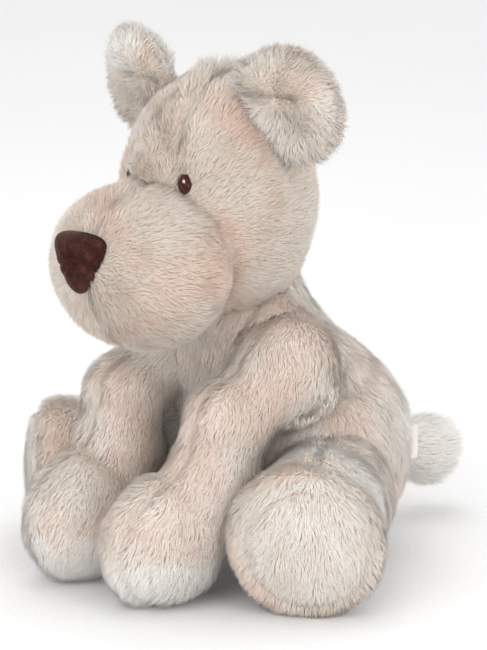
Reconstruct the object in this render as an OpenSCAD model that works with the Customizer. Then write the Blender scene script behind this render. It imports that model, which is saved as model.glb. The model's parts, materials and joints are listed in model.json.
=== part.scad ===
// Sitting plush dog: sewn fur covers over soft filling, with bending seams at
// the neck, the ears, the shoulders, the hips and the tail.
// The dog looks along -Y, its left side is +X. The origin is the middle of the
// flat seat, on the floor. Millimetres, Z up.

/* [Covers] */
// Thickness of a cover: woven backing and the pile that lies on it
cover_t = 5; // [3:0.5:8]
// Cut between two covers that meet in a seam
seam_cut = 0.2; // [0.1:0.05:0.5]
// Free space between a cover and what is inside it
fill_gap = 0.3; // [0.2:0.1:1]
// Free space between parts that turn against each other
turn_gap = 0.5; // [0.4:0.1:1.5]

/* [Torso] */
// Width of the torso at the belly
torso_w = 128; // [100:1:160]
// Depth of the torso at the belly
torso_d = 116; // [90:1:150]
// Half height of the belly egg
torso_rz = 66; // [60:1:80]
// Height of the belly egg's middle above the floor
torso_z = 56; // [45:1:60]
// Radius of the flat seat cover
seat_r = 36; // [30:1:45]
// Half width of the belly cover
belly_half = 24; // [15:1:35]

/* [Neck] */
// Neck turning point in front of the seat middle
neck_y = -30; // [-45:1:-15]
// Neck turning point above the floor
neck_z = 128; // [110:1:145]
// Radius of the round top of the torso
neck_r = 31; // [25:1:36]
// Thickness of the sewn ring between torso and head
neck_ring_t = 2.6; // [1.5:0.1:4]

/* [Head] */
// Width of the head
head_w = 104; // [85:1:125]
// Depth of the head
head_d = 92; // [75:1:115]
// Height of the head
head_h = 124; // [95:1:150]
// Middle of the head in front of the seat middle
head_y = -49; // [-65:1:-35]
// Middle of the head above the floor
head_z = 186; // [165:1:205]
// Half width of the strip that runs over the forehead
gusset_half = 18; // [10:1:25]

/* [Muzzle] */
// Width of the muzzle
muzzle_w = 104; // [80:1:120]
// Depth of the muzzle
muzzle_d = 74; // [55:1:95]
// Height of the muzzle
muzzle_h = 82; // [60:1:100]
// Middle of the muzzle in front of the seat middle
muzzle_y = -100; // [-115:1:-85]
// Middle of the muzzle above the floor
muzzle_z = 157; // [140:1:175]

/* [Nose and eyes] */
// Width of the nose
nose_w = 32; // [22:1:44]
// Height of the nose
nose_h = 29; // [20:1:40]
// Thickness of the velour over the nose
nose_cover_t = 1.5; // [1:0.1:2.5]
// Height of the nose middle above the floor
nose_z = 165; // [150:1:180]
// Distance of each eye from the middle plane
eye_x = 21; // [16:0.5:32]
// Height of the eyes above the floor
eye_z = 198; // [185:1:210]
// Width of an embroidered eye
eye_w = 6.6; // [4:0.2:10]
// Height of an embroidered eye
eye_h = 9; // [5:0.2:13]

/* [Ears] */
// Radius of an ear
ear_r = 28.5; // [20:0.5:38]
// Thickness of an ear
ear_t = 14; // [8:0.5:20]
// Distance from the head middle to the ear seam
ear_reach = 58; // [52:0.5:70]
// Distance from the ear seam to the ear middle
ear_rise = 15; // [8:0.5:22]
// How far the ears look outward
ear_yaw = 13; // [0:1:40]

/* [Front legs] */
// Shoulder turning point beside the middle plane
shoulder_x = 40; // [34:0.5:50]
// Shoulder turning point in front of the seat middle
shoulder_y = -42; // [-55:1:-30]
// Shoulder turning point above the floor
shoulder_z = 106; // [95:1:118]
// Radius of the shoulder's ball
shoulder_r = 27; // [20:0.5:30]
// Radius of the front leg where it leaves the shoulder's ball
shoulder_root_r = 17; // [12:0.5:22]
// Radius of the front leg above its bend
foreleg_r = 21; // [15:0.5:26]
// Half width of a front paw
paw_rx = 26; // [20:0.5:30]
// Half length of a front paw
paw_ry = 36; // [25:0.5:42]
// Half height of a front paw
paw_rz = 32; // [24:0.5:36]
// Height of the pale underside of a front paw
paw_pale_h = 17; // [8:1:28]

/* [Hind legs] */
// Hip turning point beside the middle plane
hip_x = 52; // [44:0.5:60]
// Hip turning point in front of the seat middle
hip_y = -24; // [-35:1:-10]
// Hip turning point above the floor
hip_z = 40; // [34:1:46]
// Radius of the hip's ball
hip_r = 32; // [26:0.5:36]
// Radius of the leg where it leaves the hip's ball
hip_root_r = 24; // [18:0.5:28]
// Radius of the leg between hip and foot
shin_r = 27; // [20:0.5:32]
// Distance from the hip to the middle of the foot
foot_reach = 60; // [50:1:72]
// Radius of the foot
foot_r = 39; // [30:0.5:44]
// Half thickness of the foot
foot_half = 19; // [12:0.5:26]
// Radius of the round sole
sole_r = 29; // [20:0.5:34]
// Direction of the resting leg, turned from straight sideways
leg_dir = -51; // [-75:1:-40]

/* [Tail] */
// Tail turning point behind the seat middle
tail_y = 55; // [48:1:62]
// Tail turning point above the floor
tail_z = 46; // [36:1:56]
// Radius of the tail seam
tail_root_r = 13; // [9:0.5:16]
// Radius of the tail at its end
tail_tip_r = 18; // [12:0.5:22]
// Length from the turning point to the middle of the tail end
tail_len = 42; // [30:1:55]
// Droop of the tail
tail_droop = 12; // [0:1:30]

/* [Filling] */
// Half width of the pellet pouch
pouch_rx = 21; // [14:1:23]
// Half depth of the pellet pouch
pouch_ry = 26; // [18:1:30]
// Height of the pellet pouch
pouch_h = 22; // [15:1:26]
// Middle of the pellet pouch behind the seat middle
pouch_y = 8; // [4:1:12]
// Gap between the pellet pouch and its pocket in the filling
pocket_gap = 1.3; // [1:0.1:2]
// Thickness of the pouch cloth
pouch_t = 0.8; // [0.5:0.1:1.5]

/* [Hidden] */
form_fn = 20;            // facets round a large soft form
small_fn = 14;           // facets round a small form
facet_loss = pow(cos(180 / form_fn), 2); // how far a faceted hollow reaches in
big = 600;               // larger than twice the whole dog
half_cut = seam_cut / 2;
inner = -cover_t;        // offset of a cover's inside
filled = -cover_t - fill_gap; // offset of a filling's outside
neck_at = [0, neck_y, neck_z];
head_at = [0, head_y, head_z];
muzzle_at = [0, muzzle_y, muzzle_z];
ring_in = neck_r + turn_gap;
ring_out = ring_in + neck_ring_t;
neck_ring_low = 26;      // lower rim of the neck ring, from the turning point
neck_ring_high = 30;     // upper rim of the neck ring, from the turning point
bend_at = [-2, -35.5, -22];   // middle of the front leg, from the shoulder
elbow_at = [-5, -42, -48];    // bend above the paw, from the shoulder
paw_at = [-11, -68, -76];     // middle of the paw, from the shoulder
ear_tilt = atan2(head_w / 2 + 2, head_h / 2 - 13); // lean of an ear from upright
muzzle_front = muzzle_y - muzzle_d / 2;

// Colours of the materials
fur_tone = [0.84, 0.78, 0.73];
pale_tone = [0.93, 0.91, 0.88];
fill_tone = [0.96, 0.96, 0.94];
nose_tone = [0.28, 0.15, 0.12];
cloth_tone = [0.80, 0.80, 0.76];
pellet_tone = [0.86, 0.86, 0.90];

// --- helpers ---------------------------------------------------------------
module ball(r, f = form_fn) sphere(r = r, $fn = f);

// A ball on the end of a limb, and the hollow that it turns in, both in facets
module knob(r) hull() ball(r);

module hollow(r) hull() ball((r + turn_gap) / facet_loss);

module egg(rx, ry, rz, f = form_fn) scale([rx, ry, rz]) sphere(r = 1, $fn = f);

// Everything above the floor, lifted with the wall so that soles keep it
module above_floor(o) translate([-big / 2, -big / 2, -o]) cube(big);

// The half of the dog on one side of its middle plane
module half(side) scale([side, 1, 1]) translate([half_cut, -big / 2, -big / 2]) cube(big);

module sided(side) if (side > 0) children(); else mirror([1, 0, 0]) children();

// --- torso -----------------------------------------------------------------
module torso_form(o) intersection() {
  hull() {
    translate([0, 0, torso_z]) egg(torso_w / 2 + o, torso_d / 2 + o, torso_rz + o);
    translate(neck_at) ball(neck_r + o);
  }
  above_floor(o);
}

// Hollows in which the balls of the legs and of the tail turn
module shoulder_room(g) translate([shoulder_x, shoulder_y, shoulder_z]) hollow(shoulder_r + g);

module hip_room(g) translate([hip_x, hip_y, hip_z]) hollow(hip_r + g);

module tail_room(g) translate([0, tail_y, tail_z]) hollow(tail_root_r + g);

module torso_solid(o) difference() {
  torso_form(o);
  for (side = [1, -1]) sided(side) { shoulder_room(-o); hip_room(-o); }
  tail_room(-o);
}

module torso_skin() difference() { torso_solid(0); torso_solid(inner); }

module seat_zone(g) translate([0, 0, -1]) cylinder(r = seat_r + g, h = 12 + g, $fn = 40);

module belly_zone(g) translate([-belly_half - g, -big, 0]) cube([2 * (belly_half + g), big - 12 + g, big]);

module label_zone(g) translate([22 - g, 44 - g, 38 - g]) cube([1.2 + 2 * g, 22 + 2 * g, 18 + 2 * g]);

module torso_back(side) color(fur_tone) difference() {
  intersection() { torso_skin(); half(side); }
  seat_zone(seam_cut);
  belly_zone(seam_cut);
  label_zone(half_cut);
}
module torso_back_left() torso_back(1);
module torso_back_right() torso_back(-1);

module belly_cover() color(fur_tone) difference() {
  intersection() { torso_skin(); belly_zone(0); }
  seat_zone(seam_cut);
}

module seat_cover() color(fur_tone) intersection() { torso_skin(); seat_zone(0); }

module pouch_form(o) translate([0, pouch_y, cover_t + fill_gap + 1 + pouch_h / 2])
  egg(pouch_rx + o, pouch_ry + o, pouch_h / 2 + o);

// The pocket in the filling, open below, that the pouch lies in
module pouch_pocket() hull() for (drop = [0, pouch_h]) translate([0, 0, -drop]) pouch_form(pocket_gap);

module torso_filling() color(fill_tone) difference() {
  torso_solid(filled);
  pouch_pocket();
  label_zone(fill_gap);
}

module pellet_pouch() color(cloth_tone) difference() { pouch_form(0); pouch_form(-pouch_t); }

module pellets() color(pellet_tone) pouch_form(-pouch_t - 0.2);

module care_label() color(pale_tone) label_zone(0);

// --- neck ------------------------------------------------------------------
module neck_ring() color(fur_tone) translate(neck_at) difference() {
  ball(ring_out);
  ball(ring_in);
  translate([-big / 2, -big / 2, -big + neck_ring_low]) cube(big);
  translate([-big / 2, -big / 2, neck_ring_high]) cube(big);
}

// --- head ------------------------------------------------------------------
module skull(o) translate(head_at) egg(head_w / 2 + o, head_d / 2 + o, head_h / 2 + o);

module snout(o) translate(muzzle_at) egg(muzzle_w / 2 + o, muzzle_d / 2 + o, muzzle_h / 2 + o);

// Placement of a left ear: its seam runs along local X, it stands along local Z
module at_ear() translate([0, head_y - 2, head_z]) rotate([0, ear_tilt, 0])
  translate([0, 0, ear_reach]) rotate([0, 0, ear_yaw]) children();

module ear_seam(r) hull() for (x = [-13, 13]) translate([x, 0, 0]) ball(r);

module ear_room(g) at_ear() ear_seam((ear_t / 2 - 1 + turn_gap) / facet_loss + g);

module head_solid(o) difference() {
  union() { skull(o); snout(o); }
  translate(neck_at) ball(ring_out + turn_gap - o);
  for (side = [1, -1]) sided(side) ear_room(-o);
}

module at_eye() translate([eye_x, head_y - eye_depth(eye_x, eye_z), eye_z]) rotate([0, 0, 24])
  children();

// How far in front of the head middle its surface lies at a given place
function eye_depth(x, z) = head_d / 2
  * sqrt(1 - pow(x / (head_w / 2), 2) - pow((z - head_z) / (head_h / 2), 2));

module eye_form(g) at_eye() egg(eye_w / 2 + g, 2 + g, eye_h / 2 + g, small_fn);

module glint_form(g) at_eye() translate([1.1, -1.6, 1.7]) egg(0.7 + g, 0.9 + g, 1 + g, 12);

// Padded triangle on the front of the muzzle, point down
module nose_form(o) translate([0, muzzle_front - 0.5, nose_z]) rotate([-8, 0, 0]) hull() {
  for (side = [1, -1]) translate([side * (nose_w / 2 - 9), 0, nose_h / 2 - 9])
    scale([1, 0.75, 1]) ball(9 + o, small_fn);
  translate([0, 1, -nose_h / 2 + 6]) scale([1, 0.8, 1]) ball(6 + o, small_fn);
}

module head_skin() difference() { head_solid(0); head_solid(inner); nose_form(half_cut); }

module gusset_zone(g) translate([-gusset_half - g, -big, 0]) cube([2 * (gusset_half + g), 2 * big, big]);

module head_side(side) color(fur_tone) difference() {
  intersection() { head_skin(); skull(0); half(side); }
  gusset_zone(seam_cut);
  sided(side) eye_form(half_cut);
}
module head_left() head_side(1);
module head_right() head_side(-1);

module forehead_strip() color(fur_tone) difference() {
  intersection() { head_skin(); skull(0); gusset_zone(0); }
  for (side = [1, -1]) sided(side) eye_form(half_cut);
}

module muzzle_side(side) color(fur_tone) difference() {
  intersection() { head_skin(); half(side); snout(1); }
  skull(seam_cut);
}
module muzzle_left() muzzle_side(1);
module muzzle_right() muzzle_side(-1);

module head_filling() color(fill_tone) difference() {
  head_solid(filled);
  nose_form(fill_gap);
}

module nose_cover() color(nose_tone) difference() { nose_form(0); nose_form(-nose_cover_t); }

module nose_padding() color(fill_tone) nose_form(-nose_cover_t - 0.2);

module eye(side) color(nose_tone) sided(side) difference() { eye_form(0); glint_form(0.1); }
module eye_left() eye(1);
module eye_right() eye(-1);

module glint(side) color(pale_tone) sided(side) glint_form(0);
module eye_glint_left() glint(1);
module eye_glint_right() glint(-1);

// --- ears ------------------------------------------------------------------
module ear_form() difference() {
  union() {
    ear_seam(ear_t / 2 - 1);
    intersection() {
      translate([0, 0, ear_rise]) egg(ear_r, ear_t / 2, ear_r);
      translate([-big / 2, -big / 2, 3]) cube(big);
    }
  }
  translate([0, -34, ear_rise + 2]) ball(30.5); // hollow of the ear
}

module ear_half(side, front) color(fur_tone) sided(side) at_ear() intersection() {
  ear_form();
  translate([-big / 2, front ? -big - half_cut : half_cut, -big / 2]) cube(big);
}
module ear_front_left() ear_half(1, true);
module ear_back_left() ear_half(1, false);
module ear_front_right() ear_half(-1, true);
module ear_back_right() ear_half(-1, false);

// --- front legs ------------------------------------------------------------
module foreleg_form(o) intersection() {
  translate([shoulder_x, shoulder_y, shoulder_z]) {
    knob(shoulder_r + o);
    hull() { ball(shoulder_root_r + o); translate(bend_at) ball(foreleg_r + o); }
    hull() { translate(bend_at) ball(foreleg_r + o); translate(elbow_at) ball(foreleg_r + 1.5 + o); }
    hull() {
      translate(elbow_at) ball(foreleg_r + 1.5 + o);
      translate(paw_at) egg(paw_rx + o, paw_ry + o, paw_rz + o);
    }
  }
  above_floor(o);
}

module foreleg_skin() difference() { foreleg_form(0); foreleg_form(inner); }

// The pale underside of the paw
module paw_zone(g) translate([0, -big / 2, -big + paw_pale_h + g]) cube([big / 2, big, big]);

module foreleg_cut(outer) translate([outer ? shoulder_x - 4 + half_cut : shoulder_x - 4 - half_cut - big,
  -big / 2, 0]) cube(big);

module foreleg_part(side, outer) color(fur_tone) sided(side) difference() {
  intersection() { foreleg_skin(); foreleg_cut(outer); }
  paw_zone(seam_cut);
}
module foreleg_outer_left() foreleg_part(1, true);
module foreleg_inner_left() foreleg_part(1, false);
module foreleg_outer_right() foreleg_part(-1, true);
module foreleg_inner_right() foreleg_part(-1, false);

module paw_sole(side) color(pale_tone) sided(side) intersection() { foreleg_skin(); paw_zone(0); }
module paw_sole_left() paw_sole(1);
module paw_sole_right() paw_sole(-1);

module foreleg_filling(side) color(fill_tone) sided(side) foreleg_form(filled);
module foreleg_filling_left() foreleg_filling(1);
module foreleg_filling_right() foreleg_filling(-1);

// --- hind legs -------------------------------------------------------------
// Local X runs from the hip to the sole
module at_hip() translate([hip_x, hip_y, hip_z]) rotate([0, 0, leg_dir]) children();

module foot_at() translate([foot_reach, 0, foot_r - hip_z - 2]) children();

module hindleg_form(o) intersection() {
  at_hip() {
    knob(hip_r + o);
    hull() { ball(hip_root_r + o); translate([38, 0, 0]) ball(shin_r + o); }
    hull() {
      translate([38, 0, 0]) ball(shin_r + o);
      foot_at() egg(foot_half + o, foot_r + o, foot_r + o);
    }
  }
  above_floor(o);
}

module hindleg_skin() difference() { hindleg_form(0); hindleg_form(inner); }

module sole_zone(g) at_hip() foot_at() rotate([0, 90, 0]) translate([0, 0, 3 - g])
  cylinder(r = sole_r + g, h = 60, $fn = 40);

module hindleg_part(side, outer) color(fur_tone) sided(side) difference() {
  intersection() {
    hindleg_skin();
    at_hip() translate([-big / 2, outer ? half_cut : -half_cut - big, -big / 2]) cube(big);
  }
  sole_zone(seam_cut);
}
module hindleg_outer_left() hindleg_part(1, true);
module hindleg_inner_left() hindleg_part(1, false);
module hindleg_outer_right() hindleg_part(-1, true);
module hindleg_inner_right() hindleg_part(-1, false);

module foot_sole(side) color(pale_tone) sided(side) intersection() { hindleg_skin(); sole_zone(0); }
module foot_sole_left() foot_sole(1);
module foot_sole_right() foot_sole(-1);

module hindleg_filling(side) color(fill_tone) sided(side) hindleg_form(filled);
module hindleg_filling_left() hindleg_filling(1);
module hindleg_filling_right() hindleg_filling(-1);

// --- tail ------------------------------------------------------------------
module tail_form(o) translate([0, tail_y, tail_z]) rotate([-tail_droop, 0, 0]) {
  knob(tail_root_r + o);
  hull() {
    ball(tail_root_r - 3.5 + o, small_fn);
    translate([0, tail_len, 0]) scale([0.85, 1, 1.05]) ball(tail_tip_r + o);
  }
}

module tail_half(up) color(fur_tone) intersection() {
  difference() { tail_form(0); tail_form(inner + 1); }
  translate([0, tail_y, tail_z]) rotate([-tail_droop, 0, 0])
    translate([-big / 2, -big / 2, up ? half_cut : -half_cut - big]) cube(big);
}
module tail_upper() tail_half(true);
module tail_lower() tail_half(false);

module tail_filling() color(fill_tone) tail_form(filled + 1);

// --- what is drawn ---------------------------------------------------------
torso_back_left();
torso_back_right();
belly_cover();
seat_cover();
torso_filling();
pellet_pouch();
pellets();
care_label();
neck_ring();
head_left();
head_right();
forehead_strip();
muzzle_left();
muzzle_right();
head_filling();
nose_cover();
nose_padding();
eye_left();
eye_right();
eye_glint_left();
eye_glint_right();
ear_front_left();
ear_back_left();
ear_front_right();
ear_back_right();
foreleg_outer_left();
foreleg_inner_left();
paw_sole_left();
foreleg_filling_left();
foreleg_outer_right();
foreleg_inner_right();
paw_sole_right();
foreleg_filling_right();
hindleg_outer_left();
hindleg_inner_left();
foot_sole_left();
hindleg_filling_left();
hindleg_outer_right();
hindleg_inner_right();
foot_sole_right();
hindleg_filling_right();
tail_upper();
tail_lower();
tail_filling();
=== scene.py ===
"""Looks of a sitting plush dog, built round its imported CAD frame.

Each stuffed body gets a backing skin, meshed over smooth forms that follow the frame, blown up a little
by a cloth simulation and creased at its seams. Curved, tapered fibres then grow on every panel.
Forms are worked out in millimetres and turned into metres when a mesh is made. The dog looks along -Y,
its left side is +X, and it sits on z = 0.
"""

import json
import math

import bpy
import numpy as np
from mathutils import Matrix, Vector
from mathutils.kdtree import KDTree


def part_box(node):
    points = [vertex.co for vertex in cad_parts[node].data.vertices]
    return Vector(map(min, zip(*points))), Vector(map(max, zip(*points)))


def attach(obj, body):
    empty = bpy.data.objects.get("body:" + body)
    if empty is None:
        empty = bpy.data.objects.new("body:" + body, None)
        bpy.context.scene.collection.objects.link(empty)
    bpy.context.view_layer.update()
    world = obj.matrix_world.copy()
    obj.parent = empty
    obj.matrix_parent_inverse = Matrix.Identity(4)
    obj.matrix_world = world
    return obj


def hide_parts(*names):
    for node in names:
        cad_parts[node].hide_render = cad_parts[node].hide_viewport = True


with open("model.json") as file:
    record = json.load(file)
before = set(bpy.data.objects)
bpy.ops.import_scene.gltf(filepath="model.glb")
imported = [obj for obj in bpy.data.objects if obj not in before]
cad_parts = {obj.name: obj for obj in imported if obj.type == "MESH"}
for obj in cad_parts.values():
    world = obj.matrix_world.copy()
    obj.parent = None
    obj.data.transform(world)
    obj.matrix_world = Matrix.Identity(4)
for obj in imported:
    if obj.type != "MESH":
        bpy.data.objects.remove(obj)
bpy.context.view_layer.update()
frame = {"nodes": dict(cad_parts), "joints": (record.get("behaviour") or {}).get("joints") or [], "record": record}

MM = 0.001
SIDES = {"left": 1, "right": -1}

# ---------------------------------------------------------------- sizes, in millimetres
PILE = 3.0  # height of the lying pile over the backing
CELL = 3.2  # mesh size of the backings before their subdivision
GRID_MARGIN = 9.0  # how far past its CAD box a form may reach
PRESSURE = 60  # of the simulated filling; on average it moves a skin by 0.12 mm or less
SWELL_CAP = 4.0  # most that the simulated filling may push a backing outward
FIBRE_R = 0.19  # half width of a fibre at its root
FIBRE_FLAT = 0.45  # its height over its half width
SOFT_SHADE = 2.5  # how far its shading follows the skin below it
PIECE_FIBRES = 19500  # fibres in one pile piece
DENSITY = 2.2  # fibres on a square millimetre, few enough for all exported meshes to fit 256 MiB
SOCKET_GAP = 0.8  # between a ball end's pile roots and the hollow it turns in
NECK_GAP = 1.0  # between the neck and the hollow in the head
BURIED = 7.0  # depth in another body from which no pile grows
BALD_SOCKET = 1.8  # how far inside a ball end's radius the torso's pile starts
BALD_NECK = 1.1  # how far outside the neck the head's pile starts
BELLY_HALF = 24  # half width of the belly cover
SOLE_R, SOLE_DROP = 29, 3  # radius of a foot's sole, and its middle's depth below the hip
LEG_SEAM = 4  # how far inside the shoulder a front leg's seam runs
SEAM_WIDTH = 3.0  # how far a seam draws the backing in with it
SEAM_DRAW = 2.2  # depth of a seam

# ---------------------------------------------------------------- places in the frame


def span(*nodes):
    """Lowest and highest corner of these CAD nodes together, in millimetres."""
    boxes = [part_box(n) for n in nodes]
    low = np.min([np.array(b[0]) for b in boxes], 0)
    high = np.max([np.array(b[1]) for b in boxes], 0)
    return low / MM, high / MM


def unit(v):
    v = np.asarray(v, float)
    return v / np.maximum(np.linalg.norm(v, axis=-1, keepdims=True), 1e-9)


PIVOT = {j["child"]: np.array(j["pos_m"]) / MM for j in frame["joints"]}
TURN = {j["child"]: unit(j["axis"]) for j in frame["joints"]}

# ---------------------------------------------------------------- distance fields
# A field takes points as an (n, 3) array and gives their distance from a form, negative inside it.


def ellipsoid(p, middle, radii):
    q = (p - middle) / radii
    k = np.linalg.norm(q, axis=1)
    return k * (k - 1) / np.maximum(np.linalg.norm(q / radii, axis=1), 1e-9)


def spindle(p, a, ra, b, rb):
    """From ellipsoid a to ellipsoid b, with radii that change smoothly between them."""
    a, b, ra, rb = (np.broadcast_to(np.asarray(v, float), 3) for v in (a, b, ra, rb))
    t = np.clip((p - a) @ (b - a) / ((b - a) @ (b - a)), 0, 1)[:, None]
    s = t * t * (3 - 2 * t)
    return ellipsoid(p, a + (b - a) * t, ra + (rb - ra) * s)


def join(d, e, soft):
    """Union of two fields with a fillet of about that size."""
    h = np.clip(0.5 + 0.5 * (e - d) / soft, 0, 1)
    return e + (d - e) * h - soft * h * (1 - h)


def carve(d, cutter, soft):
    """The first field without the second, with a rounded rim."""
    return -join(-d, cutter, soft)


def along(p, path):
    """Distance from a chain of points."""
    path = np.asarray(path, float)
    best = np.full(len(p), 1e9)
    for a, b in zip(path[:-1], path[1:]):
        t = np.clip((p - a) @ (b - a) / ((b - a) @ (b - a)), 0, 1)[:, None]
        best = np.minimum(best, np.linalg.norm(p - a - (b - a) * t, axis=1))
    return best


def press(d, p, path, depth, width):
    """Presses a form in along a chain of points. A negative depth raises a roll there."""
    return d + depth * np.exp(-((along(p, path) / width) ** 2))


# ---------------------------------------------------------------- the bodies' forms
torso_high = span("torso_back_left", "torso_back_right", "belly_cover", "seat_cover")[1]
NECK = PIVOT["neck"]
neck_r = torso_high[2] - NECK[2]
belly_mid = np.array([0, 0, 56.0])
belly_r = np.array([torso_high[0], torso_high[1], 66.0])

skull_high = span("head_left", "head_right", "forehead_strip")[1]
snout_low, snout_high = span("muzzle_left", "muzzle_right")
skull_r = np.array([skull_high[0], 46.0, 62.0])
skull_mid = np.array([0, skull_high[1] - skull_r[1], skull_high[2] - skull_r[2]])
snout_r = np.array([snout_high[0], 37.0, 41.0])
snout_mid = np.array([0, snout_low[1] + snout_r[1], snout_low[2] + snout_r[2]])
nose_low, nose_high = span("nose_cover")
nose_mid = (nose_low + nose_high) / 2
STRIP_HALF = span("forehead_strip")[1][0]  # half width of the strip over the forehead

eye_mid = {s: sum(span("eye_" + s)) / 2 for s in SIDES}
LIMB_SIDE = {"left": np.array([1.0, 1, 1]), "right": np.array([-1.0, 1, 1])}

COLLAR_AT = np.array([-2.0, 2, -2])  # of the torso's shoulder collar, from the foreleg's pivot
COLLAR_MORE, COLLAR_SOFT = 2.6, 20  # its radius over the ball end's, and its fillet
SNOUT_SOFT = 9  # fillet between skull and snout
# Depth and width of pressed lines
HAUNCH_PRESS, STRIP_PRESS, CHIN_PRESS, WRIST_PRESS = (4.0, 5.0), (1.6, 2.6), (3.0, 4.5), (2.6, 4.0)
BROW_WIDTH = 5.0
# Creases, in millimetres from the dog's own origin, on its left side
HAUNCH_FOLD = [(43, 14, 92), (48, -16, 84), (44, -32, 76), (34, -46, 62)]
STRIP_SEAM = [(1, -54, 247), (8, -74, 231), (12.5, -84, 212), (13.5, -88, 200)]
BROW_ROLL = [(11.5, -92, 190), (12, -88, 203), (9, -80, 216)]
CHIN_FOLD = [(0, -138, 150), (0, -131, 134)]
EYE_DENT = {"left": (2.0, 6.5), "right": (4.0, 7.0)}  # depth and width of the hollow at each eye
BROW_HEIGHT = {"left": 0.8, "right": 6.5}  # the right one hides most of its eye from the camera


def torso_form(p):
    d = spindle(p, belly_mid, belly_r, NECK, neck_r)
    for mirror in LIMB_SIDE.values():
        q = p * mirror
        collar_r = np.full(3, shoulder_r + COLLAR_MORE)
        d = join(d, ellipsoid(q, PIVOT["foreleg_left"] + COLLAR_AT, collar_r), COLLAR_SOFT)
        d = press(d, q, HAUNCH_FOLD, *HAUNCH_PRESS)
    return d


def head_form(p):
    d = join(ellipsoid(p, skull_mid, skull_r), ellipsoid(p, snout_mid, snout_r), SNOUT_SOFT)
    for s, mirror in LIMB_SIDE.items():
        q, eye = p * mirror, eye_mid["left"]
        d = press(d, q, STRIP_SEAM, *STRIP_PRESS)
        d = press(d, q, [eye, eye + np.array([0, 0.5, 3.0])], *EYE_DENT[s])
        d = press(d, q, BROW_ROLL, -BROW_HEIGHT[s], BROW_WIDTH)
    return press(d, p, CHIN_FOLD, *CHIN_PRESS)


class EarFrame:
    """Local axes of an ear: x along its seam and outward, z up the ear, y backwards."""

    def __init__(self, side):
        low, high = span("ear_front_" + side, "ear_back_" + side)
        self.origin = PIVOT["ear_" + side]
        self.x = TURN["ear_" + side] * SIDES[side]
        up = (low + high) / 2 - self.origin
        self.z = unit(up - self.x * (up @ self.x))
        self.y = np.cross(self.z, self.x) * SIDES[side]

    def local(self, p):
        return (p - self.origin) @ np.array([self.x, self.y, self.z]).T

    def world(self, q):
        return self.origin + q @ np.array([self.x, self.y, self.z])


EAR = {s: EarFrame(s) for s in SIDES}
ear_r = 30.0
ear_mid = np.array([0, 0, 14.5])
EAR_FOLD = np.array([(-14, -5, 3.5), (-8, -5.5, 12), (-1, -5, 21)])  # the slit under the ear's roll
FOLD_WAY = unit(EAR_FOLD[2] - EAR_FOLD[0]) * (1, 0, 1)
FOLD_SIDE = np.array([-FOLD_WAY[2], 0, FOLD_WAY[0]])  # from the slit towards the roll


def ear_form(side):
    """A thick disc with a hollow outer flap and a roll that overhangs the slit in its middle."""
    roll = EAR_FOLD[1] + np.array([0, 2.5, 0]) + FOLD_SIDE * 10.5
    hollow = ear_mid + np.array([0, -31.0, 0]) - FOLD_SIDE * 10

    def field(p):
        q = EAR[side].local(p)
        disc = ellipsoid(q, ear_mid, np.array([ear_r, 8.0, ear_r]))
        d = join(disc, spindle(q, (-11, 0, 0), 6.0, (11, 0, 0), 6.0), 6)
        d = carve(d, ellipsoid(q, hollow, np.full(3, 27.5)), 5)
        d = join(d, spindle(q, roll - FOLD_WAY * 12, 7.5, roll + FOLD_WAY * 14, 8.5), 6)
        return press(d, q, EAR_FOLD, 3.6, 3.0)

    return field


shoulder_r, hip_r, tail_root_r = 27.0, 32.0, 13.0
bend_at = np.array([-2.0, -35.5, -22])
elbow_at = np.array([-5.0, -42, -48])
paw_at = np.array([-11.0, -68, -76])
paw_r = np.array([26.0, 36, 32])
WRIST = elbow_at + (paw_at - elbow_at) * 0.32
WRIST_FOLD = [WRIST + 24 * np.array([math.sin(t), -0.73 * math.cos(t), 0.68 * math.cos(t)])
              for t in np.linspace(-1.2, 1.2, 7)]


def foreleg_form(side):
    m = LIMB_SIDE[side]
    s = PIVOT["foreleg_" + side] * m

    def field(p):
        q = p * m - s
        d = spindle(q, (0, 0, 0), 17, bend_at, 21)
        d = join(d, spindle(q, bend_at, 21, elbow_at, 22.5), 5)
        d = join(d, spindle(q, elbow_at, 22.5, paw_at, paw_r), 5)
        d = join(d, ellipsoid(q, np.zeros(3), np.full(3, shoulder_r)), 12)
        return press(d, q, WRIST_FOLD, *WRIST_PRESS)

    return field


sole_mid = {s: sum(span("foot_sole_" + s)) / 2 for s in SIDES}
foot_reach, foot_r, foot_half = 60.0, 39.0, 19.0
FOOT_MORE = {"left": 0.0, "right": 5.0}  # how much further each foot reaches


def leg_axes(side):
    """Directions along the hind leg, across it, and up."""
    out = sole_mid[side] - PIVOT["hindleg_" + side]
    out[2] = 0
    out = unit(out)
    return np.array([out, np.cross([0, 0, 1.0], out), [0, 0, 1.0]])


def hindleg_form(side):
    axes, hip = leg_axes(side), PIVOT["hindleg_" + side]
    foot = np.array([foot_reach + FOOT_MORE[side], -2.5 * SIDES[side], foot_r - hip[2] - 2])

    def field(p):
        q = (p - hip) @ axes.T
        shin = np.array([38.0, 0, 2])
        d = spindle(q, (0, 0, 0), 29, shin, 31)
        d = join(d, spindle(q, shin, 31, foot, (foot_half, foot_r, foot_r)), 8)
        return join(d, ellipsoid(q, np.zeros(3), np.full(3, hip_r)), 8)

    return field


TAIL_DROOP = math.radians(18)
TAIL_UP = np.array([0, math.sin(TAIL_DROOP), math.cos(TAIL_DROOP)])


def tail_form(p):
    root = PIVOT["tail"]
    tip = root + 42 * np.array([0, math.cos(TAIL_DROOP), -math.sin(TAIL_DROOP)])
    d = spindle(p, root, 9.5, tip, (15.3, 17, 18))
    return join(d, ellipsoid(p, root, np.full(3, tail_root_r)), 3)


def socket(body, r):
    """The round hollow in which a body's ball end turns."""
    return lambda p: ellipsoid(p, PIVOT[body], np.full(3, r))


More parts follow.
